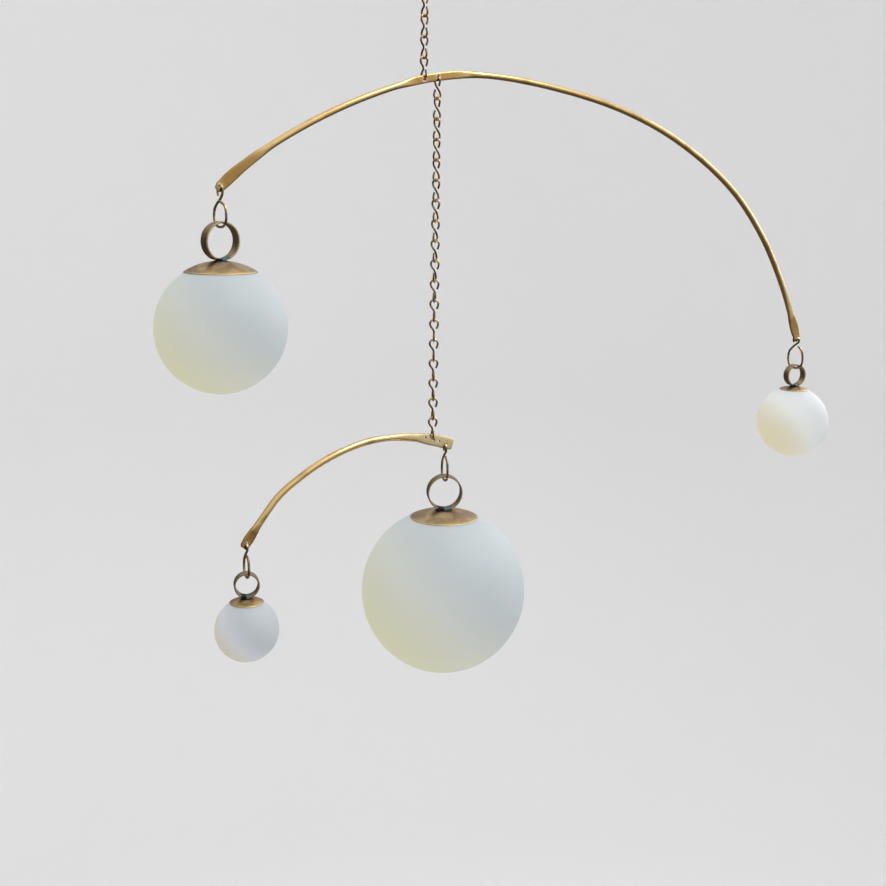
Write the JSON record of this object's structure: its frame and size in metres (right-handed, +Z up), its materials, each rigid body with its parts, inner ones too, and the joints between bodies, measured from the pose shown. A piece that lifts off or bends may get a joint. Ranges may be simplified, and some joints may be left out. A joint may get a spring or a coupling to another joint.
{
  "type": "hanging mobile sculpture",
  "caption": "Hanging mobile of curved forged brass arms and a jack chain, carrying opal glass globes of different sizes on brass caps, rings and wire hooks.",
  "frame": {"origin": "the point inside the top of the hanging ring where the ceiling hook bears", "axes": "+Z up along the chains; +X along the long arm towards its smaller, farther globe; -Y towards the side it is seen from"},
  "size_m": [0.6076, 0.1254, 0.5487],
  "materials": {
    "chain_brass": "darkened brass wire, worn bright where it rubs",
    "arm_brass": "forged brass with brown patina and rubbed edges",
    "hook_brass": "olive-brown brass wire",
    "ring_brass": "flat brass strip, heat-darkened and green at the soldered foot",
    "cap_brass": "dished sheet brass with pinkish tarnish",
    "opal_glass": "satin opal glass, bluish white above and yellowish below"
  },
  "bodies": {
    "root": {"hanging_ring": "chain_brass", "upper_link_01": "chain_brass", "upper_link_02": "chain_brass", "upper_link_03": "chain_brass", "upper_link_04": "chain_brass", "upper_link_05": "chain_brass", "lower_link_01": "chain_brass", "lower_link_02": "chain_brass", "lower_link_03": "chain_brass", "lower_link_04": "chain_brass", "lower_link_05": "chain_brass", "lower_link_06": "chain_brass", "lower_link_07": "chain_brass", "lower_link_08": "chain_brass", "lower_link_09": "chain_brass", "lower_link_10": "chain_brass", "lower_link_11": "chain_brass", "lower_link_12": "chain_brass", "lower_link_13": "chain_brass", "lower_link_14": "chain_brass", "lower_link_15": "chain_brass", "lower_link_16": "chain_brass", "lower_link_17": "chain_brass", "lower_link_18": "chain_brass", "long_arm": "arm_brass", "short_arm": "arm_brass", "left_hook": "hook_brass", "left_ring": "ring_brass", "left_cap": "cap_brass", "left_ball": "opal_glass", "right_hook": "hook_brass", "right_ring": "ring_brass", "right_cap": "cap_brass", "right_ball": "opal_glass", "big_hook": "hook_brass", "big_ring": "ring_brass", "big_cap": "cap_brass", "big_ball": "opal_glass", "small_hook": "hook_brass", "small_ring": "ring_brass", "small_cap": "cap_brass", "small_ball": "opal_glass"}
  },
  "joints": []
}
